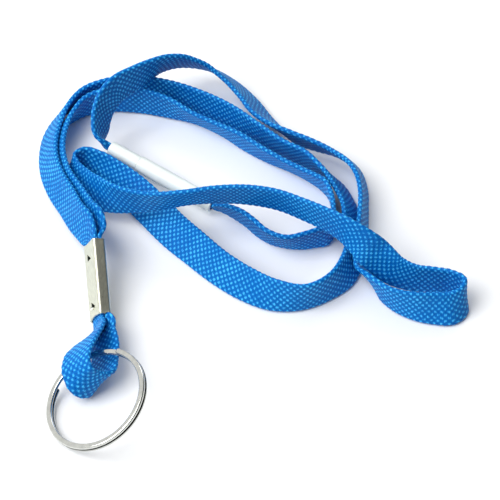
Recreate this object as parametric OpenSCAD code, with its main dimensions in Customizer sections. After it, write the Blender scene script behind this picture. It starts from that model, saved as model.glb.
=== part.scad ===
// Lanyard: a flat braided neck strap, loosely coiled on a table, with a metal crimp,
// a small strap loop that holds a split ring, and a tubular breakaway connector.
// Millimetres. +Z is up and the table is z = 0. The origin is at the middle of the
// outline on the table.

/* [Strap] */
// Width of the flat braid
strap_w = 9.5; // [8:0.1:11.5]
// Thickness of the flat braid
strap_t = 1.4; // [1.1:0.05:1.7]

/* [Crimp] */
// Length of the crimp along the strap
crimp_l = 20; // [14:0.5:26]
// Width of the space inside the crimp, which the strap is folded into
crimp_bore_w = 6.7; // [5:0.1:8]
// Thickness of the crimp's sheet metal
crimp_wall = 0.4; // [0.3:0.05:0.6]
// Thickness of the pressed strap as a share of its free thickness
crimp_squeeze = 0.8; // [0.7:0.02:0.86]
// Length of each punched tooth
tooth_l = 2.3; // [1.4:0.1:2.6]
// Width of each punched tooth at its root
tooth_w = 1.7; // [1.2:0.1:2]

/* [Split ring] */
// Outer diameter of the split ring
ring_od = 27.6; // [22:0.2:34]
// Width of the ring's wire across the ring
ring_wire_w = 1.5; // [1.2:0.1:2.2]
// Thickness of one turn of the ring's wire
ring_turn_t = 1; // [0.7:0.05:1.2]

/* [Breakaway connector] */
// Outer diameter of the socket half
socket_od = 4.4; // [3.9:0.1:5.2]
// Length of the socket half
socket_l = 23; // [19:0.5:28]
// Wall of the socket half
socket_wall = 0.5; // [0.4:0.05:0.6]
// Outer diameter of the plug half's body
plug_od = 3.9; // [3.4:0.1:4.6]
// Length of the plug half's body outside the socket
plug_body_l = 9; // [7:0.5:12]
// Length of the plug's stem inside the socket
stem_l = 9; // [7:0.5:11]
// Length of strap held inside each connector half
end_grip_l = 5; // [3:0.5:7]

/* [Fits] */
// Clearance round the plug's stem, and round the pressed strap in the crimp
fit_gap = 0.1; // [0.05:0.01:0.15]

/* [Hidden] */

strap_blue = "#0a6fe0";
nickel = "#c9ccc8";
clear_white = "#eef3f1";

// The strap stands on its edge, so the heights follow its width.
lift = strap_w / 9.5;

// Crimp: its middle, and its turns about X (nose up), Y (roll) and Z (heading).
// Its own axes are Y along the strap, X through its thickness and Z across its width.
crimp_at = [-38.4, -11.4, 7 * lift];
crimp_turn = [18.5, 20, 6];
layer_t = strap_t * crimp_squeeze;
layer_w = crimp_bore_w - 2 * fit_gap;
layer_x = layer_t / 2 + fit_gap / 2;
crimp_bore_t = 2 * layer_t + 3 * fit_gap;
crimp_w = crimp_bore_w + 2 * crimp_wall;
crimp_t = crimp_bore_t + 2 * crimp_wall;
crimp_corner = crimp_wall + 0.25;
crimp_lean = 20;
teeth_y = [6.4, -6.5];
tooth_skew = 0.9;

// Connector: the outer end of the socket, and the turn of its axis from there
clip_at = [-9.5, 16.8, 3.5 * lift];
clip_heading = 147;
clip_pitch = 4.5;
socket_bore = socket_od - 2 * socket_wall;
stem_d = socket_bore - 2 * fit_gap;
grip_bore = socket_bore - 0.4;
end_w = grip_bore - 2 * fit_gap;
end_t = end_w * 0.75;
clip_l = socket_l + plug_body_l;

// Split ring: the point of the wire inside the strap loop, the direction of that
// point from the ring's middle, and the ring's tilt from level about that heading
ring_pass = [-42.2, -37.2];
ring_tilt = 28.7;
ring_tilt_heading = 15;
ring_r = (ring_od - ring_wire_w) / 2;
ring_pitch = ring_turn_t + 0.08;
ring_thick = ring_pitch + ring_turn_t;
ring_pass_angle = 112;
ring_high = (ring_r + ring_wire_w / 2) * sin(ring_tilt) + ring_thick / 2 * cos(ring_tilt);
ring_reach = ring_turned([ring_r * cos(ring_pass_angle), ring_r * sin(ring_pass_angle), 0]);
ring_at = [ring_pass.x - ring_reach.x, ring_pass.y - ring_reach.y, ring_high];

function turn_x(p, a) = [p.x, p.y * cos(a) - p.z * sin(a), p.y * sin(a) + p.z * cos(a)];
function turn_y(p, a) = [p.x * cos(a) + p.z * sin(a), p.y, -p.x * sin(a) + p.z * cos(a)];
function turn_z(p, a) = [p.x * cos(a) - p.y * sin(a), p.x * sin(a) + p.y * cos(a), p.z];

// A point in the crimp's own axes, placed in the part
function crimp_point(p) =
    crimp_at + turn_z(turn_x(turn_y(p, crimp_turn.y), crimp_turn.x), crimp_turn.z);
// A point in the split ring's own axes, turned as the ring is
function ring_turned(p) =
    turn_z(turn_y(turn_z(p, -ring_tilt_heading), -ring_tilt), ring_tilt_heading);
// The point at a distance along the connector's axis from the socket's outer end
function clip_point(d) =
    clip_at + d * [cos(clip_pitch) * cos(clip_heading), cos(clip_pitch) * sin(clip_heading),
                   sin(clip_pitch)];

// Every route point is [x, y, height, lean, width, thickness]. The lean is how far the
// strap's upper edge tips to the left of the way it runs, in degrees: 0 is on edge.
function free(rows) = [for (r = rows) [r.x, r.y, r[2] * lift, r[3], strap_w, strap_t]];
function pressed(y, x, lean) =
    let (p = crimp_point([x, y, 0])) [p.x, p.y, p.z, lean, layer_w, layer_t];
function gathered(d, rise, lean, w, t) =
    let (p = clip_point(d)) [p.x, p.y, p.z + rise * lift, lean, w, t];
// A width between the free strap's and that of a pressed or gathered end
function between(end, share) = strap_w * share + end * (1 - share);

// The long strand: from the crimp's lower mouth, up the left side, round the far side,
// down and back along the near side, round a loop at the left, over everything to the
// loop at the right, away again and round the far side to the plug.
long_out = [
    [-41.5, 2.6, 10.6, -21], [-44, 7.5, 9, -22], [-47, 15, 7, -24], [-50.2, 22.5, 5.3, -26],
    [-52.2, 29.5, 4.6, -28], [-52.6, 36.5, 4.3, -31], [-51.7, 42.5, 4.3, -32],
    [-49.3, 48.2, 4.6, -26], [-44.7, 53, 4.9, -12], [-38, 55.7, 5, -3],
    [-30, 56.5, 5, 0], [-22, 54.9, 5, 1], [-13, 51, 5, 3], [-5, 46, 5, 3],
    [3, 39.5, 5.1, -6], [9.5, 34.5, 5.1, -14], [14.7, 31.3, 5, -14], [18.6, 27.8, 4.8, -23],
    [21.9, 24.4, 4.3, -33], [24.2, 19.7, 4.2, -34], [25.8, 14.5, 4.3, -32],
    [26.2, 7.5, 4.5, -29], [26.4, -0.5, 4.6, -26], [24.5, -6.3, 4.7, -22],
    [20, -11.7, 4.9, -5], [14, -15, 5, -1], [6, -14.2, 4.8, -20],
    [-1, -10.2, 4.2, -33], [-8, -4.5, 4, -38], [-14, 2, 3.6, -46], [-20, 9, 2.9, -57],
    [-25, 15.5, 2.8, -60], [-30, 21, 3.6, -47], [-35, 25.5, 4.3, -33], [-39.5, 29, 4.8, -20]];
long_back = [
    [-43.2, 30.7, 5, -6], [-46, 29.9, 4.9, 14], [-46.4, 26.5, 4.6, 30], [-43.6, 22.5, 4.9, 34],
    [-39, 17.7, 7, 24], [-32.5, 13.2, 9.8, 0], [-24.5, 10.3, 12.4, -14],
    [-17, 9.9, 14.2, -20], [-9, 10.3, 15, -16], [-1, 10.2, 15.1, -12], [7, 8.4, 15.2, -9],
    [13.5, 5.2, 15.2, -6], [19.5, 1.5, 15.4, -2], [24.5, -2.1, 15.2, 8],
    [28.5, -4.6, 13.4, 20], [32.2, -6, 9.9, 27], [36.3, -7.7, 6.6, 16], [41, -8.9, 5.2, 6],
    [46.5, -9.5, 5, 2], [51, -10.5, 5, 1], [53.8, -12.7, 5, 1], [53.6, -16, 4.8, -14],
    [51, -18.2, 4.6, -24], [46, -18.5, 4.7, -19], [40.5, -17.8, 5, -6], [35.5, -15.5, 5, 6],
    [31.7, -11.5, 4.8, 16], [29.8, -6.5, 3.9, 42], [29, 0.5, 4.3, 30], [29, 9.5, 4.9, 14],
    [29.2, 17.5, 5, 13], [28.7, 23.5, 5, 20], [26.6, 29, 5, 30], [22.5, 33.1, 5, 34],
    [17, 35.9, 5.2, 27], [11.5, 38.7, 5.1, 25], [7, 42.5, 4.7, 36], [3, 47.3, 4.3, 44],
    [-0.5, 52.9, 4.6, 44], [-5.3, 57.6, 6.2, 42], [-11, 60.2, 8.6, 39], [-16.8, 59.7, 11.3, 33],
    [-22, 57, 13.8, 22], [-26.5, 53.3, 15.1, 8], [-31, 49.9, 15.2, -3]];
long_drop = [[-35.3, 46.5, 14.8, -10], [-38, 43.1, 12.4, -16], [-39, 39.5, 9.8, -22]];
// The short strand: from the crimp inside the long one, round the far side, then back
// under it to the socket.
short_out = [
    [-38.7, 3, 10.7, -21], [-41.2, 8.2, 8.9, -23], [-44.9, 16, 6.9, -24],
    [-48.3, 23.5, 5.2, -24], [-50.2, 30.5, 4.6, -27], [-50.6, 36.5, 4.4, -31],
    [-49.8, 41.5, 4.4, -31], [-47.4, 46.1, 4.7, -22], [-43.4, 50.1, 5, -9],
    [-37.5, 52.2, 5, -2], [-29, 51.9, 5, 0], [-21.5, 49.5, 5, -8], [-15, 46.3, 4.7, -24],
    [-8, 42, 4.7, -24], [-2, 37.5, 4.9, -16], [4, 33, 4.8, -20], [10, 29.2, 4.7, -26],
    [14.3, 26.3, 4.7, -25], [17.8, 23.5, 4.8, -20], [20.2, 20.5, 5, -12],
    [21.2, 16.5, 5, -7], [21.5, 12, 5, -3], [21.1, 8.1, 5, 1], [19.6, 5.4, 5, 6],
    [17, 4.5, 5, 10], [13.5, 3.5, 4.9, 15], [9.5, 3.3, 4.7, 23], [5, 4.9, 4.8, 20],
    [1.5, 8, 4.9, 14], [-1.5, 11.1, 4.8, 17]];
// The small loop under the crimp, which the split ring hangs in
loop_run = [
    [-40.9, -32.7, 8.4, 43], [-42.4, -37.6, 10, 50], [-42.6, -41.4, 9.9, 46],
    [-41.7, -43.2, 8.7, 34], [-40.1, -43.8, 6.9, 17], [-37.9, -42.9, 5, -12],
    [-36.4, -40.1, 4.1, -40], [-36, -36.1, 3.9, -47], [-35.9, -31.5, 4, -46],
    [-36.3, -27.3, 4.2, -38]];

mouth = crimp_l / 2;
function flared(side) =
    let (out = side > 0 ? 0.9 : 0.35, p = crimp_point([side * (layer_x + out), mouth + 2.3, 0]))
    [p.x, p.y, p.z - 0.3 * lift, -crimp_lean, between(layer_w, 0.5), strap_t * 0.9];
function in_crimp(side) =
    [pressed(-mouth + fit_gap, side * layer_x, -crimp_lean),
     pressed(mouth, side * layer_x, -crimp_lean),
     pressed(mouth + 0.7, side * (layer_x + 0.06), -crimp_lean), flared(side)];
long_strand = concat(
    in_crimp(-1), free(long_out), free(long_back), free(long_drop),
    [gathered(clip_l + 2.6, 0.6, -26, between(end_w, 0.5), strap_t),
     gathered(clip_l + 0.35, 0, -28, end_w, end_t)]);
short_strand = concat(
    in_crimp(1), free(short_out),
    [gathered(-4.4, 1, 24, between(end_w, 0.75), strap_t),
     gathered(-2, 0.4, 26, between(end_w, 0.35), strap_t), gathered(-0.2, 0, 28, end_w, end_t)]);
// Below the crimp the two layers spread at once
function splayed(side, d, out, rise, lean, share) =
    let (p = crimp_point([side * (layer_x + out), -mouth - d, 0]))
    [p.x, p.y, p.z + rise * lift, lean, between(layer_w, share), strap_t * 0.9];
loop_strand = concat(
    [pressed(-mouth - fit_gap, -layer_x, crimp_lean), pressed(-mouth - 0.6, -layer_x, crimp_lean),
     pressed(-mouth - 1.7, -layer_x, crimp_lean), splayed(-1, 4, 0.5, 1.3, crimp_lean + 4, 0.3),
     splayed(-1, 7.2, 1.8, 4, crimp_lean + 12, 0.75)],
    free(loop_run),
    [splayed(1, 4, 0.8, 1.85, -crimp_lean - 4, 0.7), pressed(-mouth - 1.7, layer_x, -crimp_lean),
     pressed(-mouth - 0.6, layer_x, -crimp_lean), pressed(-mouth - fit_gap, layer_x, -crimp_lean)]);

// Where the long strand is parted into stretches, counted in its points
back_end = len(long_out) + 3;
front_end = back_end + len(long_back);

function unit(v) = v / norm(v);
function at(r) = [r.x, r.y, r[2]];
// The way the strand runs at point i
function way(s, i) = unit(at(s[min(i + 1, len(s) - 1)]) - at(s[max(i - 1, 0)]));
// The eight corners of the strap's flat section at point i
function section(s, i) =
    let (
        t = way(s, i), left = unit([-t.y, t.x, 0]), up = cross(t, left), r = s[i],
        across = up * cos(r[3]) + left * sin(r[3]), through = cross(across, t),
        w = r[4] / 2, h = r[5] / 2, c = min(0.35 * r[5], 0.35 * r[4]))
    [for (q = [[w, -h + c], [w, h - c], [w - c, h], [c - w, h],
               [-w, h - c], [-w, c - h], [c - w, -h], [w - c, -h]])
        at(r) + across * q.x + through * q.y];
// One closed solid through the points of a strand from one index to another
module strap_run(s, from, to) {
    n = to - from + 1;
    points = [for (i = [from : to]) each section(s, i)];
    sides = [for (i = [0 : n - 2], k = [0 : 7])
        let (a = i * 8 + k, b = i * 8 + (k + 1) % 8) each [[a, b, a + 8], [b, b + 8, a + 8]]];
    ends = [[for (k = [7 : -1 : 0]) k], [for (k = [0 : 7]) (n - 1) * 8 + k]];
    color(strap_blue) polyhedron(points, concat(sides, ends), convexity = 10);
}

module neck_strap_back() { strap_run(long_strand, 0, back_end); }
module neck_strap_front() { strap_run(long_strand, back_end, front_end); }
module neck_strap_plug_end() { strap_run(long_strand, front_end, len(long_strand) - 1); }
module neck_strap_short() { strap_run(short_strand, 0, len(short_strand) - 1); }
module ring_loop() { strap_run(loop_strand, 0, len(loop_strand) - 1); }

module at_crimp() {
    translate(crimp_at) rotate([0, 0, crimp_turn.z]) rotate([crimp_turn.x, 0, 0])
        rotate([0, crimp_turn.y, 0]) children();
}
module rounded_rect(w, h, r) {
    square([w - 2 * r, h], center = true);
    square([w, h - 2 * r], center = true);
    for (x = [-1, 1], y = [-1, 1])
        translate([x * (w / 2 - r), y * (h / 2 - r)]) circle(r = r, $fn = 32);
}
// A tooth's outline, with its root towards the crimp's lower edge. Its point leans towards
// the lower mouth.
module tooth_outline(grow) {
    polygon([[-tooth_l / 2 - grow, -tooth_w / 2 - 1.5 * grow], [tooth_l / 2 + 2 * grow, -tooth_skew],
             [-tooth_l / 2 - grow, tooth_w / 2 + grow]]);
}
seam_gap = 0.3;
// Folded sheet sleeve with two tooth windows in its broad side and a seam at the back
module crimp_sleeve() {
    color(nickel) at_crimp() difference() {
        rotate([90, 0, 0]) linear_extrude(crimp_l, center = true) difference() {
            rounded_rect(crimp_t, crimp_w, crimp_corner);
            rounded_rect(crimp_bore_t, crimp_bore_w, crimp_corner - crimp_wall);
        }
        translate([crimp_t / 2, 0, 0]) cube([crimp_wall * 3, crimp_l + 1, seam_gap], center = true);
        for (y = teeth_y) translate([-crimp_t / 2, y, 0]) rotate([0, -90, 0])
            linear_extrude(crimp_wall * 3, center = true) tooth_outline(fit_gap);
    }
}
// The two punched teeth, bent in against the strap
module crimp_teeth() {
    sink = 0.12;
    color(nickel) at_crimp() for (y = teeth_y)
        translate([-crimp_t / 2 + crimp_wall / 2 + sink, y, 0]) rotate([0, -90, 0])
            linear_extrude(crimp_wall * 0.7, center = true) tooth_outline(0);
}

// Two turns of wire, one on the other. Where the ring passes through the strap loop
// only one wire is left, which crosses from the upper turn to the lower.
module split_ring() {
    cross_from = 62;
    cross_angle = 88;
    overlap = 4;
    color(nickel) translate(ring_at)
        rotate([0, 0, ring_tilt_heading]) rotate([0, -ring_tilt, 0])
        rotate([0, 0, -ring_tilt_heading]) {
            for (side = [-1, 1])
                translate([0, 0, side * ring_pitch / 2])
                    ring_arc(cross_from + cross_angle, 360 - cross_angle);
            ring_arc(cross_from - overlap, cross_angle + 2 * overlap);
        }
}
module ring_arc(from, angle) {
    rotate([0, 0, from]) rotate_extrude(angle = angle, $fn = 96)
        translate([ring_r, 0]) rounded_rect(ring_wire_w, ring_turn_t, 0.35);
}

module at_clip() {
    translate(clip_at) rotate([0, 0, clip_heading]) rotate([0, 90 - clip_pitch, 0]) children();
}
// Outer tube of the connector, with a bore for the plug's stem and a grip for the strap
module breakaway_socket() {
    color(clear_white) at_clip() rotate_extrude($fn = 64) difference() {
        union() {
            square([socket_od / 2 - 0.25, socket_l]);
            translate([0, 0.25]) square([socket_od / 2, socket_l - 0.5]);
            for (z = [0.25, socket_l - 0.25])
                translate([socket_od / 2 - 0.25, z]) circle(r = 0.25, $fn = 24);
        }
        translate([0, -1]) square([grip_bore / 2, end_grip_l + 1 + fit_gap]);
        translate([0, socket_l - stem_l - 1]) square([socket_bore / 2, stem_l + 2]);
    }
}
// Plug: a body with a grip for the strap, and a stem with a snap rib near its tip
module breakaway_plug() {
    rib = fit_gap * 0.6;
    color(clear_white) at_clip() translate([0, 0, socket_l]) rotate_extrude($fn = 64) difference() {
        union() {
            translate([0, fit_gap]) square([plug_od / 2, plug_body_l - fit_gap - 0.25]);
            translate([0, fit_gap]) square([plug_od / 2 - 0.25, plug_body_l - fit_gap]);
            translate([plug_od / 2 - 0.25, plug_body_l - 0.25]) circle(r = 0.25, $fn = 24);
            translate([0, -stem_l + 0.5]) square([stem_d / 2, stem_l]);
            translate([0, -stem_l]) square([stem_d / 2 - 0.3, 1]);
            translate([0, -stem_l + 1.5]) square([stem_d / 2 + rib, 0.8]);
        }
        translate([0, plug_body_l - end_grip_l - fit_gap])
            square([grip_bore / 2, end_grip_l + 1]);
    }
}
// The gathered end of the strap, bonded inside a connector half
module strap_plug_of(z) {
    color(strap_blue) at_clip() translate([0, 0, z])
        cylinder(d = grip_bore - 2 * fit_gap, h = end_grip_l - fit_gap, $fn = 32);
}
module strap_end_in_plug() { strap_plug_of(clip_l - end_grip_l); }
module strap_end_in_socket() { strap_plug_of(fit_gap); }

neck_strap_back();
neck_strap_front();
neck_strap_plug_end();
neck_strap_short();
ring_loop();
crimp_sleeve();
crimp_teeth();
split_ring();
breakaway_socket();
breakaway_plug();
strap_end_in_plug();
strap_end_in_socket();
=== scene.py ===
"""Looks of a braided neck lanyard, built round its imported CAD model.

Metres; +Z is up and the table is z = 0.
"""

import math

import bpy
import numpy as np
from bpy.props import FloatProperty, FloatVectorProperty, IntProperty, PointerProperty
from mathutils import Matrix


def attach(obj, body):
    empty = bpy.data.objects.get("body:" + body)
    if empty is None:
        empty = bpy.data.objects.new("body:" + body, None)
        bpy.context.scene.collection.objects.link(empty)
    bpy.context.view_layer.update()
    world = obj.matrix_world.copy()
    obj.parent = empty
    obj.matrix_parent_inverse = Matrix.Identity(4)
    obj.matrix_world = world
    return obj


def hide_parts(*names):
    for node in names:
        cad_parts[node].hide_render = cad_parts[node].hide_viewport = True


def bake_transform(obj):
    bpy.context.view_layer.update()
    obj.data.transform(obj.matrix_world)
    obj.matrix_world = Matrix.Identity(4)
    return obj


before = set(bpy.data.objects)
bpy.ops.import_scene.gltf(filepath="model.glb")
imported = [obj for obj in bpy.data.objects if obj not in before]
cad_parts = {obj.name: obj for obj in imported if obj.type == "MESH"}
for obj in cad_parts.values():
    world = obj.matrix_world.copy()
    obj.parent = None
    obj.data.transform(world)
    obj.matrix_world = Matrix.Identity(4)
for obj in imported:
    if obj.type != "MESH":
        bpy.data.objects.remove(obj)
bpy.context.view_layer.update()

bl_info = {
    "name": "Braided Lanyard",
    "version": (1, 0, 0),
    "blender": (4, 5, 0),
    "location": "3D View > Sidebar > Lanyard",
    "description": "Builds a coiled braided lanyard with its crimp, split ring and breakaway connector",
    "category": "Add Mesh",
}

MM = 0.001


def linear(hex_colour, alpha=None):
    """An sRGB hex colour as linear red, green and blue, with an alpha if one is given."""
    srgb = [int(hex_colour[i : i + 2], 16) / 255 for i in (1, 3, 5)]
    rgb = [c / 12.92 if c <= 0.04045 else ((c + 0.055) / 1.055) ** 2.4 for c in srgb]
    return (*rgb, alpha) if alpha is not None else tuple(rgb)


# ---------------------------------------------------------------- settings


class StrapSettings(bpy.types.PropertyGroup):
    width: FloatProperty(
        name="Width", description="Width of the flat braid",
        default=9.5 * MM, unit="LENGTH",
    )
    thickness: FloatProperty(
        name="Thickness", description="Thickness of the flat braid",
        default=1.4 * MM, unit="LENGTH",
    )
    carriers: IntProperty(
        name="Carriers", description="Yarns that run each way round the tubular braid",
        default=12,
    )
    pick: FloatProperty(
        name="Pick", description="Length of strap between one crossing and the next on a row",
        default=1.6 * MM, unit="LENGTH",
    )
    relief: FloatProperty(
        name="Relief", description="Height of a yarn's crown over the gaps between yarns",
        default=0.22 * MM, unit="LENGTH",
    )
    # painted highlight: the lighter colour painted on the yarns' crowns
    crown: FloatVectorProperty(
        name="Crown", description="Colour of the yarn's crowns",
        subtype="COLOR", default=linear("#48c2ff"),
    )
    body: FloatVectorProperty(
        name="Body", description="Colour of the yarn's sides",
        subtype="COLOR", default=linear("#0066b8"),
    )
    # painted shade: the darker colour painted between the yarns
    gap: FloatVectorProperty(
        name="Gap", description="Colour between the yarns",
        subtype="COLOR", default=linear("#003d8c"),
    )


class MetalSettings(bpy.types.PropertyGroup):
    nickel: FloatVectorProperty(
        name="Nickel sheet", description="Colour of the crimp's plating",
        subtype="COLOR", default=linear("#dcddca"),
    )
    wire: FloatVectorProperty(
        name="Ring wire", description="Colour of the ring's plating",
        subtype="COLOR", default=linear("#d8d9d3"),
    )


class ConnectorSettings(bpy.types.PropertyGroup):
    resin: FloatVectorProperty(
        name="Resin", description="Colour of the connector's plastic",
        subtype="COLOR", default=linear("#eef6f1"),
    )


class StageSettings(bpy.types.PropertyGroup):
    floor: FloatVectorProperty(
        name="Floor", description="Colour of the floor",
        subtype="COLOR", default=linear("#f6f7f8"),
    )
    azimuth: FloatProperty(
        name="Azimuth", description="Turn of the camera round the lanyard",
        default=0.0, subtype="ANGLE",
    )
    elevation: FloatProperty(
        name="Elevation", description="Height of the camera over the table",
        default=math.radians(50), subtype="ANGLE",
    )
    distance: FloatProperty(
        name="Distance", description="From the camera to the middle of the lanyard",
        default=0.85, unit="LENGTH",
    )


# ---------------------------------------------------------------- the lie of the strap
# Each point is x, y and height in metres and the lean in degrees: how far the strap's
# upper edge tips to the left of the way it runs, with 0 on edge.

LONG_OUT = [
    (-0.0415, 0.0026, 0.0106, -21), (-0.044, 0.0075, 0.009, -22), (-0.047, 0.015, 0.007, -24),
    (-0.0502, 0.0225, 0.0053, -26), (-0.0522, 0.0295, 0.0046, -28), (-0.0526, 0.0365, 0.0043, -31),
    (-0.0517, 0.0425, 0.0043, -32), (-0.0493, 0.0482, 0.0046, -26), (-0.0447, 0.053, 0.0049, -12),
    (-0.038, 0.0557, 0.005, -3), (-0.03, 0.0565, 0.005, 0), (-0.022, 0.0549, 0.005, 1),
    (-0.013, 0.051, 0.005, 3), (-0.005, 0.046, 0.005, 3), (0.003, 0.0395, 0.0051, -6),
    (0.0095, 0.0345, 0.0051, -14), (0.0147, 0.0313, 0.005, -14), (0.0186, 0.0278, 0.0048, -23),
    (0.0219, 0.0244, 0.0043, -33), (0.0242, 0.0197, 0.0042, -34), (0.0258, 0.0145, 0.0043, -32),
    (0.0262, 0.0075, 0.0045, -29), (0.0264, -0.0005, 0.0046, -26), (0.0245, -0.0063, 0.0047, -22),
    (0.02, -0.0117, 0.0049, -5), (0.014, -0.015, 0.005, -1), (0.006, -0.0142, 0.0048, -20),
    (-0.001, -0.0102, 0.0042, -33), (-0.008, -0.0045, 0.004, -38), (-0.014, 0.002, 0.0036, -46),
    (-0.02, 0.009, 0.0029, -57), (-0.025, 0.0155, 0.0028, -60), (-0.03, 0.021, 0.0036, -47),
    (-0.035, 0.0255, 0.0043, -33), (-0.0395, 0.029, 0.0048, -20),
]
LONG_BACK = [
    (-0.0432, 0.0307, 0.005, -6), (-0.046, 0.0299, 0.0049, 14), (-0.0464, 0.0265, 0.0046, 30),
    (-0.0436, 0.0225, 0.0049, 34), (-0.039, 0.0177, 0.007, 24), (-0.0325, 0.0132, 0.0098, 0),
    (-0.0245, 0.0103, 0.0124, -14), (-0.017, 0.0099, 0.0142, -20), (-0.009, 0.0103, 0.015, -16),
    (-0.001, 0.0102, 0.0151, -12), (0.007, 0.0084, 0.0152, -9), (0.0135, 0.0052, 0.0152, -6),
    (0.0195, 0.0015, 0.0154, -2), (0.0245, -0.0021, 0.0152, 8), (0.0285, -0.0046, 0.0134, 20),
    (0.0322, -0.006, 0.0099, 27), (0.0363, -0.0077, 0.0066, 16), (0.041, -0.0089, 0.0052, 6),
    (0.0465, -0.0095, 0.005, 2), (0.051, -0.0105, 0.005, 1), (0.0538, -0.0127, 0.005, 1),
    (0.0536, -0.016, 0.0048, -14), (0.051, -0.0182, 0.0046, -24), (0.046, -0.0185, 0.0047, -19),
    (0.0405, -0.0178, 0.005, -6), (0.0355, -0.0155, 0.005, 6), (0.0317, -0.0115, 0.0048, 16),
    (0.0298, -0.0065, 0.0039, 42), (0.029, 0.0005, 0.0043, 30), (0.029, 0.0095, 0.0049, 14),
    (0.0292, 0.0175, 0.005, 13), (0.0287, 0.0235, 0.005, 20), (0.0266, 0.029, 0.005, 30),
    (0.0225, 0.0331, 0.005, 34), (0.017, 0.0359, 0.0052, 27), (0.0115, 0.0387, 0.0051, 25),
    (0.007, 0.0425, 0.0047, 36), (0.003, 0.0473, 0.0043, 44), (-0.0005, 0.0529, 0.0046, 44),
    (-0.0053, 0.0576, 0.0062, 42), (-0.011, 0.0602, 0.0086, 39), (-0.0168, 0.0597, 0.0113, 33),
    (-0.022, 0.057, 0.0138, 22), (-0.0265, 0.0533, 0.0151, 8), (-0.031, 0.0499, 0.0152, -3),
]
LONG_DROP = [
    (-0.0353, 0.0465, 0.0148, -10), (-0.038, 0.0431, 0.0124, -16), (-0.039, 0.0395, 0.0098, -22),
]
SHORT_OUT = [
    (-0.0387, 0.003, 0.0107, -21), (-0.0412, 0.0082, 0.0089, -23), (-0.0449, 0.016, 0.0069, -24),
    (-0.0483, 0.0235, 0.0052, -24), (-0.0502, 0.0305, 0.0046, -27), (-0.0506, 0.0365, 0.0044, -31),
    (-0.0498, 0.0415, 0.0044, -31), (-0.0474, 0.0461, 0.0047, -22), (-0.0434, 0.0501, 0.005, -9),
    (-0.0375, 0.0522, 0.005, -2), (-0.029, 0.0519, 0.005, 0), (-0.0215, 0.0495, 0.005, -8),
    (-0.015, 0.0463, 0.0047, -24), (-0.008, 0.042, 0.0047, -24), (-0.002, 0.0375, 0.0049, -16),
    (0.004, 0.033, 0.0048, -20), (0.01, 0.0292, 0.0047, -26), (0.0143, 0.0263, 0.0047, -25),
    (0.0178, 0.0235, 0.0048, -20), (0.0202, 0.0205, 0.005, -12), (0.0212, 0.0165, 0.005, -7),
    (0.0215, 0.012, 0.005, -3), (0.0211, 0.0081, 0.005, 1), (0.0196, 0.0054, 0.005, 6),
    (0.017, 0.0045, 0.005, 10), (0.0135, 0.0035, 0.0049, 15), (0.0095, 0.0033, 0.0047, 23),
    (0.005, 0.0049, 0.0048, 20), (0.0015, 0.008, 0.0049, 14), (-0.0015, 0.0111, 0.0048, 17),
]
LOOP_RUN = [
    (-0.0409, -0.0327, 0.0084, 43), (-0.0424, -0.0376, 0.01, 50), (-0.0426, -0.0414, 0.0099, 46),
    (-0.0417, -0.0432, 0.0087, 34), (-0.0401, -0.0438, 0.0069, 17), (-0.0379, -0.0429, 0.005, -12),
    (-0.0364, -0.0401, 0.0041, -40), (-0.036, -0.0361, 0.0039, -47), (-0.0359, -0.0315, 0.004, -46),
    (-0.0363, -0.0273, 0.0042, -38),
]
CRIMP_AT = np.array((-0.0384, -0.0114, 0.007))
CRIMP_TURN = (18.5, 20, 6)
CRIMP_LENGTH = 20 * MM
CRIMP_LEAN = 20
LAYER_WIDTH, LAYER_THICK, LAYER_OFFSET = 6.5 * MM, 1.12 * MM, 0.61 * MM
CLIP_AT = np.array((-0.0095, 0.0168, 0.0035))
CLIP_HEADING, CLIP_PITCH = 147, 4.5
SOCKET_LENGTH, PLUG_LENGTH = 23 * MM, 9 * MM
END_WIDTH, END_THICK = 2.8 * MM, 2.1 * MM
SPREAD_THICK = 0.9  # the strap's thickness beside the crimp, as a share of its own
CRIMP_ROWS = 4  # rows of a strand up to the start of its free route


def turned(point, x, y, z):
    """The point turned by y degrees about Y, then x about X, then z about Z."""
    for axis, angle in ((1, y), (0, x), (2, z)):
        c, s = math.cos(math.radians(angle)), math.sin(math.radians(angle))
        a, b = (axis + 1) % 3, (axis + 2) % 3
        point = np.array(point, float)
        u, v = point[..., a], point[..., b]
        point[..., a], point[..., b] = u * c - v * s, u * s + v * c
    return point


def crimp_placed(points):
    """Points in the crimp's own axes, Y along the strap and Z across its width, placed on the part."""
    return CRIMP_AT + turned(points, *CRIMP_TURN)


def clip_axis():
    """The way the connector runs, from its socket's strap end to its plug's."""
    heading, pitch = math.radians(CLIP_HEADING), math.radians(CLIP_PITCH)
    level = math.cos(pitch)
    return np.array((level * math.cos(heading), level * math.sin(heading), math.sin(pitch)))


def pressed(y, side, lean, out=0.0):
    """A row of the strap pressed flat in the crimp, in the layer on one side (-1 or 1) of its middle."""
    return (*crimp_placed((side * (LAYER_OFFSET + out), y, 0)), lean, LAYER_WIDTH, LAYER_THICK)


def between(width, end, share):
    """A width between the free strap's and that of a pressed or gathered end."""
    return width * share + end * (1 - share)


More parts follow.
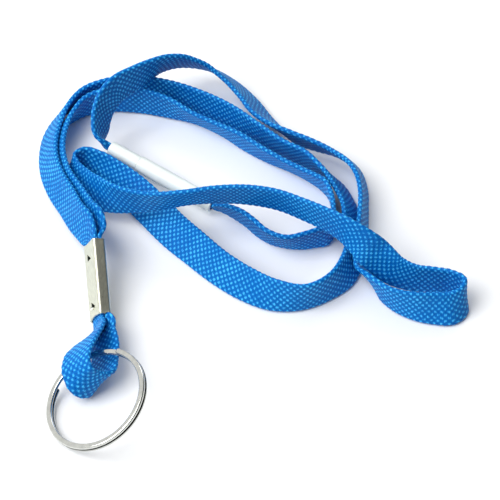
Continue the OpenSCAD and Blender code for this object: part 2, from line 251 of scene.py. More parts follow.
def strands(strap):
    """The long strand, the short strand and the loop: rows of place, lean, width and thickness."""
    w, t, mouth, gap = strap.width, strap.thickness, CRIMP_LENGTH / 2, 0.1 * MM

    def free(route):
        """Rows of a route where the strap keeps its own width and thickness."""
        return [(*row, w, t) for row in route]

    def gathered(along, rise, lean, width, thick):
        """A row where the strap narrows to go into the connector, placed along the connector."""
        return (*(CLIP_AT + along * clip_axis() + (0, 0, rise)), lean, width, thick)

    def spread(side, y, out, rise, lean, share):
        """A row just outside the crimp, where the strap widens again and leaves its layer."""
        x, py, z = crimp_placed((side * (LAYER_OFFSET + out), y, 0))
        return (x, py, z + rise, lean, between(w, LAYER_WIDTH, share), SPREAD_THICK * t)

    def in_crimp(side):
        """A strand's rows through the crimp and out of its upper mouth."""
        out = 0.9 * MM if side > 0 else 0.35 * MM
        runs = [pressed(gap - mouth, side, -CRIMP_LEAN), pressed(mouth, side, -CRIMP_LEAN)]
        runs.append(pressed(mouth + 0.7 * MM, side, -CRIMP_LEAN, 0.06 * MM))
        return runs + [spread(side, mouth + 2.3 * MM, out, -0.3 * MM, -CRIMP_LEAN, 0.5)]

    far = SOCKET_LENGTH + PLUG_LENGTH
    long_end = [
        gathered(far + 2.6 * MM, 0.6 * MM, -26, between(w, END_WIDTH, 0.5), t),
        gathered(far + 0.35 * MM, 0, -28, END_WIDTH, END_THICK),
    ]
    short_end = [
        gathered(-4.4 * MM, 1 * MM, 24, between(w, END_WIDTH, 0.75), t),
        gathered(-2 * MM, 0.4 * MM, 26, between(w, END_WIDTH, 0.35), t),
        gathered(-0.2 * MM, 0, 28, END_WIDTH, END_THICK),
    ]
    under = (-gap - mouth, -mouth - 0.6 * MM, -mouth - 1.7 * MM)
    loop_start = [pressed(y, -1, CRIMP_LEAN) for y in under] + [
        spread(-1, -mouth - 4 * MM, 0.5 * MM, 1.3 * MM, CRIMP_LEAN + 4, 0.3),
        spread(-1, -mouth - 7.2 * MM, 1.8 * MM, 4 * MM, CRIMP_LEAN + 12, 0.75),
    ]
    loop_end = [spread(1, -mouth - 4 * MM, 0.8 * MM, 1.85 * MM, -CRIMP_LEAN - 4, 0.7)]
    loop_end += [pressed(y, 1, -CRIMP_LEAN) for y in under[::-1]]
    long_strand = in_crimp(-1) + free(LONG_OUT) + free(LONG_BACK) + free(LONG_DROP) + long_end
    short_strand = in_crimp(1) + free(SHORT_OUT) + short_end
    return np.array(long_strand), np.array(short_strand), np.array(loop_start + free(LOOP_RUN) + loop_end)


# ---------------------------------------------------------------- mesh

STEP_ALONG, STEPS_ROUND = 0.27 * MM, 80
LINE_STEP = 1 * MM
SHARP = math.radians(50)


def smooth_run(rows, start, stop):
    """The strand from one of its points to another, in even steps of its length.

    A cubic runs from each point to the next. Its slope at a point is the mean of the slopes on
    both sides, weighted by the other side's length, so the curve passes through every point.
    Returns the place along the strand of each step, and its rows.
    """
    gaps = np.linalg.norm(np.diff(rows[:, :3], axis=0), axis=1)
    knots = np.concatenate(([0], np.cumsum(gaps)))
    slopes = np.diff(rows, axis=0) / gaps[:, None]
    ahead, behind = gaps[1:, None], gaps[:-1, None]
    inner = (slopes[:-1] * ahead + slopes[1:] * behind) / (ahead + behind)
    slope = np.vstack((slopes[:1], inner, slopes[-1:]))
    count = int(math.ceil((knots[stop] - knots[start]) / STEP_ALONG)) + 1
    along = np.linspace(knots[start], knots[stop], count)
    i = np.clip(np.searchsorted(knots, along, side="right") - 1, 0, len(gaps) - 1)
    h = gaps[i, None]
    f = ((along - knots[i]) / gaps[i])[:, None]
    a, b = (2 * f**3 - 3 * f**2 + 1) * rows[i], (f**3 - 2 * f**2 + f) * h * slope[i]
    c, d = (3 * f**2 - 2 * f**3) * rows[i + 1], (f**3 - f**2) * h * slope[i + 1]
    return along, a + b + c + d


def flat_tube_outline(strap):
    """Points round the strap's section, evenly spaced: two flats joined by half-round edges.

    Returns each point's place across and through, and its outward direction.
    """
    r = strap.thickness / 2
    flat = strap.width - 2 * r
    girth = 2 * flat + 2 * math.pi * r
    p = np.arange(STEPS_ROUND) / STEPS_ROUND * girth
    arc = math.pi * r
    top = p < flat
    right = (p >= flat) & (p < flat + arc)
    bottom = (p >= flat + arc) & (p < 2 * flat + arc)
    angle = np.where(right, math.pi / 2 - (p - flat) / r, -math.pi / 2 - (p - 2 * flat - arc) / r)
    sides = [p - flat / 2, flat / 2 + r * np.cos(angle), flat / 2 - (p - flat - arc)]
    across = np.select([top, right, bottom], sides, -flat / 2 + r * np.cos(angle))
    through = np.select([top, bottom], [r, -r], r * np.sin(angle))
    out_across = np.select([top, bottom], [0, 0], np.cos(angle))
    out_through = np.select([top, bottom], [1, -1], np.sin(angle))
    return across, through, out_across, out_through, girth


def braid_height(round_turn, along_pick):
    """Height of a diamond braid, from 0 between the yarns to 1 on a crown.

    Two families of yarns run at + and - across each other. Each is a row of half-round ridges
    that rises and falls along its length, over one yarn and under the next, and the higher of
    the two shows. Returns the height, and 1 where the first family is on top.
    """
    a, b = round_turn - along_pick, round_turn + along_pick
    na, nb = np.round(a), np.round(b)
    first = 0.62 * np.cos(np.pi * (a - na)) + 0.38 * np.cos(np.pi * (b + na))
    second = 0.62 * np.cos(np.pi * (b - nb)) - 0.38 * np.cos(np.pi * (a + nb))
    return np.clip(np.maximum(first, second), 0, 1), (first > second).astype(float)


def unit(v):
    """The vectors scaled to a length of 1."""
    return v / np.linalg.norm(v, axis=-1, keepdims=True)


def grid_quads(rows, columns, closed=True, flip=False):
    """Faces of a grid of points held row by row.

    A closed grid's last column joins its first. Flip turns the faces over.
    """
    i, j = np.meshgrid(np.arange(rows - 1), np.arange(columns - (not closed)), indexing="ij")
    k = (j + 1) % columns
    corners = [i * columns + j, (i + 1) * columns + j, (i + 1) * columns + k, i * columns + k]
    if flip:
        corners = [corners[n] for n in (0, 3, 2, 1)]
    return np.stack(corners, axis=-1).reshape(-1, 4)


def mesh_object(name, verts, faces, material, **point_values):
    """An object in the scene from its points and faces, with one value a point under each name given."""
    mesh = bpy.data.meshes.new(name)
    mesh.from_pydata(verts.reshape(-1, 3), [], faces)
    for label, values in point_values.items():
        held = mesh.attributes.new(label, "FLOAT", "POINT")
        held.data.foreach_set("value", values.ravel().astype(np.float32))
    mesh.shade_smooth()
    mesh.materials.append(material)
    piece = bpy.data.objects.new(name, mesh)
    bpy.context.scene.collection.objects.link(piece)
    return piece


def strap_piece(name, rows, start, stop, strap, material):
    """A stretch of flat tubular braid carried along its strand.

    The section is a flat tube. It stands across the way the strand runs, tipped by the lean,
    and each point is moved out by the braid's height. Returns the piece, points along its centreline
    and the centreline's length.
    """
    along, run = smooth_run(rows, start, stop)
    centre = run[:, :3]
    way = unit(np.gradient(centre, axis=0))
    left = unit(np.stack((-way[:, 1], way[:, 0], np.zeros(len(way))), axis=1))
    up = np.cross(way, left)
    lean = np.radians(run[:, 3])[:, None]
    across = up * np.cos(lean) + left * np.sin(lean)
    through = np.cross(across, way)
    x, y, ox, oy, girth = flat_tube_outline(strap)
    wide, thick = run[:, 4:5] / strap.width, run[:, 5:6] / strap.thickness
    turn = np.arange(STEPS_ROUND) / STEPS_ROUND
    height, family = braid_height(turn[None, :] * strap.carriers, along[:, None] / strap.pick)
    rise = (height - 1) * strap.relief * np.sqrt(wide * thick)
    cx, cy = x * wide + ox * rise, y * thick + oy * rise
    verts = centre[:, None] + across[:, None] * cx[..., None] + through[:, None] * cy[..., None]
    n, m = height.shape
    ends = [list(range(m)), list(range((n - 1) * m, n * m))[::-1]]
    faces = grid_quads(n, m).tolist() + ends
    # the crown height goes to the material, which paints highlight on the crowns and shade in the gaps by it
    piece = mesh_object(name, verts, faces, material, crown=height, family=family)
    i, j = np.meshgrid(np.arange(n - 1), np.arange(m), indexing="ij")
    uv_round = np.stack((j, j, j + 1, j + 1), -1) / m * girth
    uv = np.stack((uv_round, along[np.stack((i, i + 1, i + 1, i), -1)]), -1)
    end_uv = np.stack((np.tile(turn * girth, 2), np.repeat(along[[0, -1]], m)), -1)
    layer = piece.data.uv_layers.new(name="Strand")
    layer.data.foreach_set("uv", np.concatenate((uv.reshape(-1, 2), end_uv)).ravel().astype(np.float32))
    every = max(1, int(round(LINE_STEP / STEP_ALONG)))
    line = np.concatenate((centre[:-1:every], centre[-1:]))
    length = float(np.linalg.norm(np.diff(centre, axis=0), axis=1).sum())
    return piece, [tuple(p) for p in line.tolist()], length


def new_piece(name, verts, faces, material, body, node, slot, **point_values):
    """A piece from its points and faces that rides on a body and stands for a CAD node."""
    piece = mesh_object(name, verts, faces, material, **point_values)
    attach(piece, body)
    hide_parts(node)
    return piece


def finish_edges(piece, wall=None, round_off=0.05 * MM):
    """Gives a sheet its wall, if it is one, and rounds the sharp edges of the piece."""
    if wall:
        solid = piece.modifiers.new("Wall", "SOLIDIFY")
        solid.thickness, solid.offset, solid.use_even_offset = wall, 0, True
    edge = piece.modifiers.new("Edges", "BEVEL")
    edge.width, edge.segments = round_off, 2
    edge.limit_method, edge.angle_limit = "ANGLE", SHARP
    edge.use_clamp_overlap, edge.harden_normals = True, False


def box_outline(half_x, half_z, corner, seam, count):
    """Even steps round a rounded rectangle, open by the seam in the middle of its +X side.

    Each corner is a quarter circle. Returns the steps' two coordinates.
    """
    turns = np.radians(np.arange(0, 91, 9))
    arcs = [
        (
            sx * (half_x - corner) + corner * np.cos(turns + q),
            sz * (half_z - corner) + corner * np.sin(turns + q),
        )
        for sx, sz, q in ((1, 1, 0), (-1, 1, math.pi / 2), (-1, -1, math.pi), (1, -1, 1.5 * math.pi))
    ]
    x = np.concatenate([[half_x]] + [a[0] for a in arcs] + [[half_x]])
    z = np.concatenate([[seam / 2]] + [a[1] for a in arcs] + [[-seam / 2]])
    far = np.concatenate(([0], np.cumsum(np.hypot(np.diff(x), np.diff(z)))))
    even = np.linspace(0, far[-1], count)
    return np.interp(even, far, x), np.interp(even, far, z)


CRIMP_WALL, CRIMP_BORE, CRIMP_ROOM = 0.4 * MM, 6.7 * MM, 0.3 * MM
CRIMP_HALF_X = (2 * LAYER_THICK + CRIMP_ROOM + CRIMP_WALL) / 2
CRIMP_HALF_Z = (CRIMP_BORE + CRIMP_WALL) / 2
CRIMP_CORNER, CRIMP_SEAM = 0.55 * MM, 0.3 * MM
CRIMP_STEPS_ALONG, CRIMP_STEPS_ROUND, CRIMP_CELL = 161, 190, 0.12 * MM
CRIMP_FLARE, CRIMP_FLARE_SHARE = 0.045, 0.07
RIPPLE, RIM_DIP = 0.02 * MM, 0.35 * MM
TOOTH_LONG, TOOTH_WIDE = 2.5 * MM, 1.9 * MM
TEETH_ALONG, TOOTH_SKEW = (6.4 * MM, -6.5 * MM), 0.9 * MM
TOOTH_DEPTH, TOOTH_WALL = (0.3 * MM, 0.6 * MM), 0.3 * MM


def tooth_distance(z, y):
    """How far a point of the crimp's broad side is outside the nearest tooth's triangle.

    The triangle's root is towards -Z and its point towards +Z and -Y. The distance is the largest of
    those from its three sides' lines, so it is below 0 inside. Also returns the way out of that side.
    """
    best, way = np.full(z.shape, 1.0), np.zeros((*z.shape, 2))
    for at in TEETH_ALONG:
        root, half = -TOOTH_LONG / 2, TOOTH_WIDE / 2
        corners = np.array(((root, at - half), (-root, at - TOOTH_SKEW), (root, at + half)))
        edges = np.roll(corners, -1, axis=0) - corners
        ways = unit(np.stack((edges[:, 1], -edges[:, 0]), axis=1))
        sides = [(z - c[0]) * n[0] + (y - c[1]) * n[1] for c, n in zip(corners, ways)]
        far = np.stack(sides, axis=-1)
        which, most = far.argmax(axis=-1), far.max(axis=-1)
        nearer = most < best
        best, way = np.where(nearer, most, best), np.where(nearer[..., None], ways[which], way)
    return best, way


def crimp_sheet():
    """The crimp's folded strip, halfway through its wall: a rounded rectangle carried along the crimp.

    With a the place along the crimp from -1 to 1, the section grows towards both mouths by
    1 + CRIMP_FLARE * f^2, where f rises from 0 to 1 over the last of |a|. The broad sides ripple by
    RIPPLE * sin(y / 2.6 mm + z / 1.4 mm), and the lower rim dips by up to RIM_DIP on the toothed side,
    where the strap bulges. Faces inside the two teeth's triangles are left out, and the points
    beside a triangle's sides are moved on to them.
    """
    half_x, half_z = CRIMP_HALF_X, CRIMP_HALF_Z
    x, z = box_outline(half_x, half_z, CRIMP_CORNER, CRIMP_SEAM, CRIMP_STEPS_ROUND)
    along = np.linspace(-1, 1, CRIMP_STEPS_ALONG)
    y = along[:, None] * CRIMP_LENGTH / 2 + np.zeros(CRIMP_STEPS_ROUND)
    x, z = np.tile(x, (CRIMP_STEPS_ALONG, 1)), np.tile(z, (CRIMP_STEPS_ALONG, 1))
    near_mouth = (np.abs(y) / (CRIMP_LENGTH / 2) - (1 - CRIMP_FLARE_SHARE)) / CRIMP_FLARE_SHARE
    flare = 1 + CRIMP_FLARE * np.clip(near_mouth, 0, 1) ** 2
    ripple = RIPPLE * np.sin(y / (2.6 * MM) + z / (1.4 * MM))
    broad = np.abs(z) < half_z - 0.6 * MM
    x = x * flare + np.where(broad, ripple * np.sign(x), 0)
    z = z * (1 + (flare - 1) * 0.4)
    low = np.clip(-along[:, None] * 6 - 5, 0, 1)
    y = y + low * RIM_DIP * np.cos(z / half_z * 2.2 + 0.5) * (x < 0)
    toothed = -half_x * 0.9
    out, way = tooth_distance(z, y)
    move = (x < toothed) & (np.abs(out) < 0.62 * CRIMP_CELL)
    z, y = z - np.where(move, out * way[..., 0], 0), y - np.where(move, out * way[..., 1], 0)
    points = np.stack((x, y, z), -1)
    quads = grid_quads(CRIMP_STEPS_ALONG, CRIMP_STEPS_ROUND, closed=False, flip=True)
    middle = points.reshape(-1, 3)[quads].mean(axis=1)
    inside, _ = tooth_distance(middle[:, 2], middle[:, 1])
    keep = (inside > 0) | (middle[:, 0] > toothed)
    return crimp_placed(points), quads[keep].tolist()


def tooth_wedges():
    """Two teeth: each a triangle of the strip hinged at its wide end and bent in to bite the strap.

    With t from 0 at the hinge to 1 at the point, the sheet is sunk by d0 + d1 * t^1.3, where d0 and
    d1 are TOOTH_DEPTH. The grid narrows towards the point.
    """
    steps, rows = 9, 7
    play = 0.08 * MM  # between a tooth's side and its window's
    along, across = np.linspace(0, 1, steps)[:, None], np.linspace(-1, 1, rows)[None, :]
    verts, faces = [], []
    for at in TEETH_ALONG:
        half = (1 - 0.94 * along) * (TOOTH_WIDE / 2 - play)
        z = -TOOTH_LONG / 2 + 0.05 * MM + along * (TOOTH_LONG - 0.2 * MM) + 0 * across
        y = at - TOOTH_SKEW * along + half * across
        x = -CRIMP_HALF_X + (TOOTH_DEPTH[0] + TOOTH_DEPTH[1] * along**1.3 + 0 * across)
        base = len(verts) * steps * rows
        verts.append(crimp_placed(np.stack((x, y, z), -1)))
        faces += (grid_quads(steps, rows, closed=False) + base).tolist()
    return np.array(verts), faces


RING_AT = np.array((-0.0375, -0.04935, 0.00754))
RING_OUTER, WIRE_WIDE, WIRE_THICK = 27.6 * MM, 1.5 * MM, 1.0 * MM
WIRE_CORNER, WIRE_SIDES, TURN_GAP = 0.4 * MM, 28, 0.08 * MM
RING_TILT, RING_TILT_HEADING = 28.7, 15
CROSS_FROM, CROSS_ANGLE = 62, 88
END_TAPER = 2.0  # degrees at each cut end over which the wire is drawn in


def ring_coil():
    """The split ring's wire: a rounded rectangle carried round two turns.

    The wire is level on the lower turn, then rises by one wire and TURN_GAP as 3s^2 - 2s^3, with s
    from 0 to 1 over CROSS_ANGLE, where the ring passes through the strap loop. It is level again on
    the upper turn, whose end shows. Both cut ends are drawn in. The whole is tilted about a level
    line through the ring's middle. Also returns how near each point is to the seam between the
    turns, from 0 to 1, and 0 where the wire is single.
    """
    turn = 360 - CROSS_ANGLE
    swept = np.arange(0, 2 * turn + CROSS_ANGLE + 0.5, 1.0)
    step = np.clip((swept - turn) / CROSS_ANGLE, 0, 1)
    height = (WIRE_THICK + TURN_GAP) * (step * step * (3 - 2 * step) - 0.5)
    angle = np.radians(CROSS_FROM + CROSS_ANGLE + swept)
    x, y = box_outline(WIRE_WIDE / 2, WIRE_THICK / 2, WIRE_CORNER, 0, WIRE_SIDES + 1)
    x, y = x[:-1], y[:-1]
    near_end = np.minimum(swept, swept[-1] - swept)
    shrink = 1 - 0.3 * np.clip(1 - near_end / END_TAPER, 0, 1) ** 2
    radius = (RING_OUTER - WIRE_WIDE) / 2 + x[None, :] * shrink[:, None]
    up = height[:, None] + y[None, :] * shrink[:, None]
    points = np.stack((radius * np.cos(angle)[:, None], radius * np.sin(angle)[:, None], up), -1)
    levelled = turned(turned(points, 0, 0, -RING_TILT_HEADING), 0, -RING_TILT, 0)
    points = turned(levelled, 0, 0, RING_TILT_HEADING)
    n, m = len(swept), WIRE_SIDES
    ends = [list(range(m))[::-1], list(range((n - 1) * m, n * m))]
    # 1 where both turns lie together, with a sign for the side that faces the other turn
    past_cross = np.maximum(turn - swept, swept - turn - CROSS_ANGLE)
    pair = np.clip(past_cross / 2, 0, 1) * np.sign(step - 0.5)
    facing = -pair[:, None] * y[None, :] / (WIRE_THICK / 2)
    # seam is the mask for the painted shade between the turns
    seam = np.clip((facing - 0.25) / 0.45, 0, 1)
    return RING_AT + points, grid_quads(n, m, flip=True).tolist() + ends, seam


# ---------------------------------------------------------------- materials


def add(owner, kind, links=(), **settings):
    """Adds a node to a material or world.

    links maps an input's name or number to the output or value it takes. settings are the node's own.
    """
    tree = owner.node_tree
    node = tree.nodes.new(kind)
    for key, value in settings.items():
        setattr(node, key, value)
    for key, value in dict(links).items():
        if isinstance(value, bpy.types.NodeSocket):
            tree.links.new(value, node.inputs[key])
        else:
            node.inputs[key].default_value = value
    return node


def new_material(name):
    """An empty node material, made once and emptied when it is asked for again."""
    material = bpy.data.materials.get(name) or bpy.data.materials.new(name)
    material.use_nodes = True
    material.node_tree.nodes.clear()
    return material


def noise(material, vector, scale, detail, **settings):
    """Soft noise over a vector, from 0 to 1."""
    links = {"Vector": vector, "Scale": scale, "Detail": detail}
    return add(material, "ShaderNodeTexNoise", links, **settings).outputs[0]


def ramp(material, factor, *stops):
    """A colour ramp's colour output. Each stop is a place from 0 to 1 and a linear colour."""
    node = add(material, "ShaderNodeValToRGB", {0: factor})
    while len(node.color_ramp.elements) < len(stops):
        node.color_ramp.elements.new(0.5)
    for element, (place, colour) in zip(node.color_ramp.elements, stops):
        element.position = place
        element.color = (*colour, 1)
    return node.outputs[0]


def finished(material, **inputs):
    """Ends the material in one Principled surface with these inputs, underscores standing for spaces."""
    surface = add(material, "ShaderNodeBsdfPrincipled", {k.replace("_", " "): v for k, v in inputs.items()})
    add(material, "ShaderNodeOutputMaterial", {"Surface": surface.outputs[0]})
    return material


def polyester_braid(strap):
    """Polyester filament yarn, dyed in the piece and braided.

    Crowns carry a painted highlight, where bundles of filaments would turn to the light, and the gaps
    between the yarns a painted shade; the sheen is soft, and filaments run along each yarn.
    """
    m = new_material("Polyester braid, dyed blue")
    crown = add(m, "ShaderNodeAttribute", attribute_name="crown").outputs["Fac"]
    family = add(m, "ShaderNodeAttribute", attribute_name="family").outputs["Fac"]
    uv = add(m, "ShaderNodeUVMap", uv_map="Strand").outputs[0]
    filaments = []
    for slant in (45, -45):
        # filament bundles are about 0.2 mm wide and show for about 1.5 mm
        turn = add(
            m, "ShaderNodeMapping",
            {
                "Vector": uv,
                "Rotation": (0, 0, math.radians(slant)),
                "Scale": (1 / (1.5 * MM), 1 / (0.22 * MM), 1),
            },
        ).outputs[0]
        filaments.append(noise(m, turn, 1.0, 1.0, noise_dimensions="2D"))
    fibre = add(m, "ShaderNodeMix", {0: family, 2: filaments[0], 3: filaments[1]}).outputs[0]
    drift = noise(m, uv, 1 / (9 * MM), 2.0, noise_dimensions="2D")
    lit = add(m, "ShaderNodeMath", {0: fibre, 1: 0.5, 2: crown}, operation="MULTIPLY_ADD").outputs[0]
    lit = add(m, "ShaderNodeMath", {0: drift, 1: 0.22, 2: lit}, operation="MULTIPLY_ADD").outputs[0]
    lit = add(m, "ShaderNodeMath", {0: lit, 1: 0.36}, operation="SUBTRACT").outputs[0]
    # painted shade in the gaps, the dye's own blue on the yarns' sides, and a painted highlight on the crowns
    colour = ramp(m, lit, (0.1, strap.gap), (0.38, strap.body), (0.72, strap.body), (1.0, strap.crown))
    bump = add(m, "ShaderNodeBump", {"Height": fibre, "Strength": 0.35, "Distance": 0.05 * MM}).outputs[0]
    return finished(
        m, Base_Color=colour, Roughness=0.5, Normal=bump, Specular_IOR_Level=0.1,
        Sheen_Weight=0.02, Sheen_Roughness=0.4, Sheen_Tint=linear("#8fd0ff", 1),
    )


def plated_sheet(metal):
    """Nickel-plated steel strip, rolled and folded: fine streaks from rolling, a satin gloss."""
    m = new_material("Nickel-plated steel strip")
    place = add(m, "ShaderNodeTexCoord").outputs["Object"]
    tip, _, heading = CRIMP_TURN
    strip = add(
        m, "ShaderNodeMapping",
        {
            "Vector": place,
            "Rotation": (math.radians(-tip), 0, math.radians(-heading)),
            "Scale": (1 / (0.35 * MM), 1 / (14 * MM), 1 / (0.35 * MM)),
        },
    ).outputs[0]
    streak = noise(m, strip, 1.0, 3.0)
    smear = noise(m, place, 1 / (4 * MM), 2.0)
    colour = ramp(m, streak, (0.3, tuple(0.78 * c for c in metal.nickel)), (0.7, metal.nickel))
    rough = add(m, "ShaderNodeMapRange", {"Value": smear, "To Min": 0.24, "To Max": 0.36}).outputs[0]
    bump = add(m, "ShaderNodeBump", {"Height": streak, "Strength": 0.25, "Distance": 0.02 * MM}).outputs[0]
    return finished(m, Base_Color=colour, Metallic=1.0, Roughness=rough, Normal=bump)


def shaded_tooth_steel():
    """Steel of the bent teeth, nearly black as painted shade for the hollow round each tooth, and dull."""
    m = new_material("Tooth steel in painted shade")
    place = add(m, "ShaderNodeTexCoord").outputs["Object"]
    grain = noise(m, place, 1 / (0.3 * MM), 2.0)
    # painted shade: near black stands for the dark hollow where each tooth is bent in
    colour = ramp(m, grain, (0.3, linear("#060707")), (0.8, linear("#161716")))
    return finished(m, Base_Color=colour, Metallic=0.2, Roughness=0.85, Specular_IOR_Level=0.15)


def plated_wire(metal):
    """Spring wire, coiled and barrel-plated in nickel.

    It is mirror-bright, with faint rub marks, and painted shade darkens the seam between the turns.
    """
    m = new_material("Nickel-plated spring wire")
    place = add(m, "ShaderNodeTexCoord").outputs["Object"]
    rub = noise(m, place, 1 / (1.6 * MM), 3.0)
    bright = ramp(m, rub, (0.3, tuple(0.85 * c for c in metal.wire)), (0.65, metal.wire))
    # painted shade: the seam between the turns is mixed towards near black
    seam = add(m, "ShaderNodeAttribute", attribute_name="seam").outputs["Fac"]
    seam_shaded = {0: seam, 6: bright, 7: linear("#1d1f1e", 1)}
    colour = add(m, "ShaderNodeMix", seam_shaded, data_type="RGBA").outputs[2]
    rough = add(m, "ShaderNodeMapRange", {"Value": rub, "To Min": 0.08, "To Max": 0.17}).outputs[0]
    bump = add(m, "ShaderNodeBump", {"Height": rub, "Strength": 0.1, "Distance": 0.04 * MM}).outputs[0]
    return finished(m, Base_Color=colour, Metallic=1.0, Roughness=rough, Normal=bump)


def moulded_resin(connector):
    """Natural polypropylene, injection moulded: milky, a little translucent, faintly rippled gloss."""
    m = new_material("Moulded polypropylene, natural")
    place = add(m, "ShaderNodeTexCoord").outputs["Object"]
    flow = noise(m, place, 1 / (5 * MM), 2.0)
    colour = ramp(m, flow, (0.3, tuple(0.9 * c for c in connector.resin)), (0.7, connector.resin))
    rough = add(m, "ShaderNodeMapRange", {"Value": flow, "To Min": 0.28, "To Max": 0.42}).outputs[0]
    bump = add(m, "ShaderNodeBump", {"Height": flow, "Strength": 0.15, "Distance": 0.1 * MM}).outputs[0]
    return finished(
        m, Base_Color=colour, Roughness=rough, Normal=bump, IOR=1.49,
        Subsurface_Weight=0.35, Subsurface_Radius=(1.2, 1.2, 1.3), Subsurface_Scale=0.8 * MM,
    )


def painted_floor(stage):
    """Matt white board: an even pale ground with the slightest tooth."""
    m = new_material("Matt white board")
    place = add(m, "ShaderNodeTexCoord").outputs["Object"]
    tooth = noise(m, place, 1 / (2 * MM), 2.0)
    colour = ramp(m, tooth, (0.0, tuple(0.985 * c for c in stage.floor)), (1.0, stage.floor))
    return finished(m, Base_Color=colour, Roughness=0.9, Specular_IOR_Level=0.1)


# ---------------------------------------------------------------- operators


def look_at(obj, target):
    """Turns the object so that its -Z points at the target and its X stays level."""
    back = -unit(np.array(target, float) - np.array(obj.location))
    right = unit(np.cross((0, 0, 1.0), back))
    tilt = math.acos(max(-1.0, min(1.0, back[2])))
    obj.rotation_euler = (tilt, 0, math.atan2(right[1], right[0]))


class LANYARD_OT_camera(bpy.types.Operator):
    """Set the camera over the near side of the lanyard"""

    bl_idname = "lanyard.camera"
    bl_label = "Camera"
    bl_options = {"REGISTER", "UNDO"}

    def execute(self, context):
        scene = context.scene
        stage = scene.lanyard_stage
        target = np.array((0, 4.5 * MM, 0))
        flat = math.cos(stage.elevation)
        south, west = math.cos(stage.azimuth) * flat, math.sin(stage.azimuth) * flat
        offset = np.array((-west, -south, math.sin(stage.elevation)))
        camera = bpy.data.objects.new("Camera", bpy.data.cameras.new("Camera"))
        scene.collection.objects.link(camera)
        camera.location = target + stage.distance * offset
        look_at(camera, target)
        camera.data.lens, camera.data.sensor_width = 238.7, 36
        camera.data.clip_start, camera.data.clip_end = 0.05, 20
        scene.camera = camera
        return {"FINISHED"}


class LANYARD_OT_strap(bpy.types.Operator):
    """Build the neck strap's stretches of flat tubular braid, and the small loop under the crimp"""

    bl_idname = "lanyard.strap"
    bl_label = "Braided strap"
    bl_options = {"REGISTER", "UNDO"}

    def execute(self, context):
        scene = context.scene
        strap = scene.lanyard_strap
        long_strand, short_strand, loop = strands(strap)
        back_end = CRIMP_ROWS - 1 + len(LONG_OUT)
        front_end = back_end + len(LONG_BACK)
        last = len(long_strand) - 1
        braid = polyester_braid(strap)
        leaves_crimp = tuple(crimp_placed((0, CRIMP_LENGTH / 2, 0)))
        stretches = (
            ("neck_strap_back", long_strand, 0, back_end, leaves_crimp),
            ("neck_strap_front", long_strand, back_end, front_end, tuple(long_strand[back_end, :3])),
            ("neck_strap_short", short_strand, 0, len(short_strand) - 1, leaves_crimp),
            ("neck_strap_plug_end", long_strand, front_end, last, None),
            ("ring_loop", loop, 0, len(loop) - 1, None),
        )
        for node, rows, start, stop, exit_point in stretches:
            piece, line, length = strap_piece("braid_" + node, rows, start, stop, strap, braid)
            if node == "neck_strap_plug_end":
                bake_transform(piece)
            else:
                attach(piece, "neck")
            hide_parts(node)
        return {"FINISHED"}


class LANYARD_OT_metal(bpy.types.Operator):
    """Finish the crimp and the split ring in their plating"""

    bl_idname = "lanyard.metal"
    bl_label = "Crimp and split ring"
    bl_options = {"REGISTER", "UNDO"}

    def execute(self, context):
        scene = context.scene
        metal = scene.lanyard_metal
        strip = plated_sheet(metal)
        sleeve = new_piece(
            "crimp_folded_strip", *crimp_sheet(), strip, "neck", "crimp_sleeve", "crimp_metal"
        )
        finish_edges(sleeve, wall=CRIMP_WALL)
        teeth = new_piece(
            "crimp_bent_teeth", *tooth_wedges(), shaded_tooth_steel(), "neck", "crimp_teeth", "crimp_metal"
        )
        finish_edges(teeth, wall=TOOTH_WALL, round_off=0.04 * MM)
        verts, faces, seam = ring_coil()
        new_piece(
            "split_ring_coil", verts, faces, plated_wire(metal), "ring", "split_ring", "ring_metal", seam=seam
        )
        return {"FINISHED"}


def cover(node, material):
    """Gives a CAD node's material slots this material."""
    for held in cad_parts[node].material_slots:
        held.material = material


class LANYARD_OT_connector(bpy.types.Operator):
    """Finish the breakaway connector's halves and the strap ends bonded in them"""

    bl_idname = "lanyard.connector"
    bl_label = "Breakaway connector"
    bl_options = {"REGISTER", "UNDO"}

    def execute(self, context):
        scene = context.scene
        resin = moulded_resin(scene.lanyard_connector)
        for node in ("breakaway_socket", "breakaway_plug"):
            cover(node, resin)
        for node in ("strap_end_in_socket", "strap_end_in_plug"):
            cover(node, polyester_braid(scene.lanyard_strap))
        return {"FINISHED"}


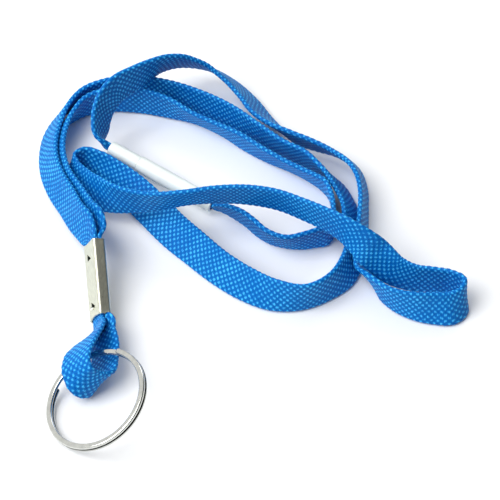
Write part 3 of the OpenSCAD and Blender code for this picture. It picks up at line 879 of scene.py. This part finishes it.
class LANYARD_OT_stage(bpy.types.Operator):
    """Lay the pale floor and hang the soft studio lights"""

    bl_idname = "lanyard.stage"
    bl_label = "Floor and lights"
    bl_options = {"REGISTER", "UNDO"}

    def execute(self, context):
        scene = context.scene
        side = 3.0
        corners = [(-side, -side, 0), (side, -side, 0), (side, side, 0), (-side, side, 0)]
        mesh = bpy.data.meshes.new("Floor")
        mesh.from_pydata(corners, [], [(0, 1, 2, 3)])
        mesh.materials.append(painted_floor(scene.lanyard_stage))
        floor = bpy.data.objects.new("Floor", mesh)
        scene.collection.objects.link(floor)
        world = bpy.data.worlds.new("Studio")
        world.use_nodes = True
        # a white tent, open on the right and a little on the near side, which give less light
        way = add(world, "ShaderNodeTexCoord").outputs["Generated"]
        parts = add(world, "ShaderNodeSeparateXYZ", {0: way}).outputs
        level = add(
            world, "ShaderNodeMapRange",
            {"Value": parts["X"], "From Min": -0.6, "From Max": 0.8, "To Min": 0.9, "To Max": 0.15},
            interpolation_type="SMOOTHSTEP",
        ).outputs[0]
        near = add(
            world, "ShaderNodeMapRange",
            {"Value": parts["Y"], "From Min": -0.95, "From Max": -0.3, "To Min": 0.45, "To Max": 1.0},
        ).outputs[0]
        level = add(world, "ShaderNodeMath", {0: level, 1: near}, operation="MULTIPLY").outputs[0]
        background = world.node_tree.nodes["Background"]
        world.node_tree.links.new(level, background.inputs["Strength"])
        background.inputs["Color"].default_value = (1, 1, 1, 1)
        scene.world = world
        # a broad key from the near left, and a weaker one from the far side
        lights = (("Key", (-0.6, -0.3, 1.0), 0.9, 13.5), ("Rim", (0.3, 0.9, 0.9), 0.6, 3.0))
        for name, place, size, power in lights:
            light = bpy.data.lights.new(name, "AREA")
            light.shape, light.size, light.energy = "SQUARE", size, power
            lamp = bpy.data.objects.new(name, light)
            lamp.location = place
            look_at(lamp, (0, 0, 0))
            scene.collection.objects.link(lamp)
        scene.view_settings.view_transform = "Standard"
        return {"FINISHED"}


class LANYARD_PT_panel(bpy.types.Panel):
    """The lanyard's settings and the steps that build it"""

    bl_label = "Lanyard"
    bl_idname = "LANYARD_PT_panel"
    bl_space_type = "VIEW_3D"
    bl_region_type = "UI"
    bl_category = "Lanyard"

    def draw(self, context):
        for operator, group in zip(OPERATORS, (None, *(name for name, _ in SETTINGS))):
            box = self.layout.box()
            if group:
                settings = getattr(context.scene, group)
                # the first two properties are Blender's own
                for name in settings.bl_rna.properties.keys()[2:]:
                    box.prop(settings, name)
            box.operator(operator.bl_idname)


OPERATORS = (
    LANYARD_OT_camera,
    LANYARD_OT_strap,
    LANYARD_OT_metal,
    LANYARD_OT_connector,
    LANYARD_OT_stage,
)
SETTINGS = (
    ("lanyard_strap", StrapSettings),
    ("lanyard_metal", MetalSettings),
    ("lanyard_connector", ConnectorSettings),
    ("lanyard_stage", StageSettings),
)


def register():
    """Registers the settings, the operators and the panel."""
    for name, group in SETTINGS:
        bpy.utils.register_class(group)
        setattr(bpy.types.Scene, name, PointerProperty(type=group))
    for operator in (*OPERATORS, LANYARD_PT_panel):
        bpy.utils.register_class(operator)


def unregister():
    """Takes them all out again, in the other order."""
    for operator in (LANYARD_PT_panel, *reversed(OPERATORS)):
        bpy.utils.unregister_class(operator)
    for name, group in reversed(SETTINGS):
        delattr(bpy.types.Scene, name)
        bpy.utils.unregister_class(group)


def main():
    """Builds the lanyard step by step."""
    register()
    bpy.ops.lanyard.camera()
    bpy.ops.lanyard.strap()
    bpy.ops.lanyard.metal()
    bpy.ops.lanyard.connector()
    bpy.ops.lanyard.stage()


if __name__ == "__main__":
    main()
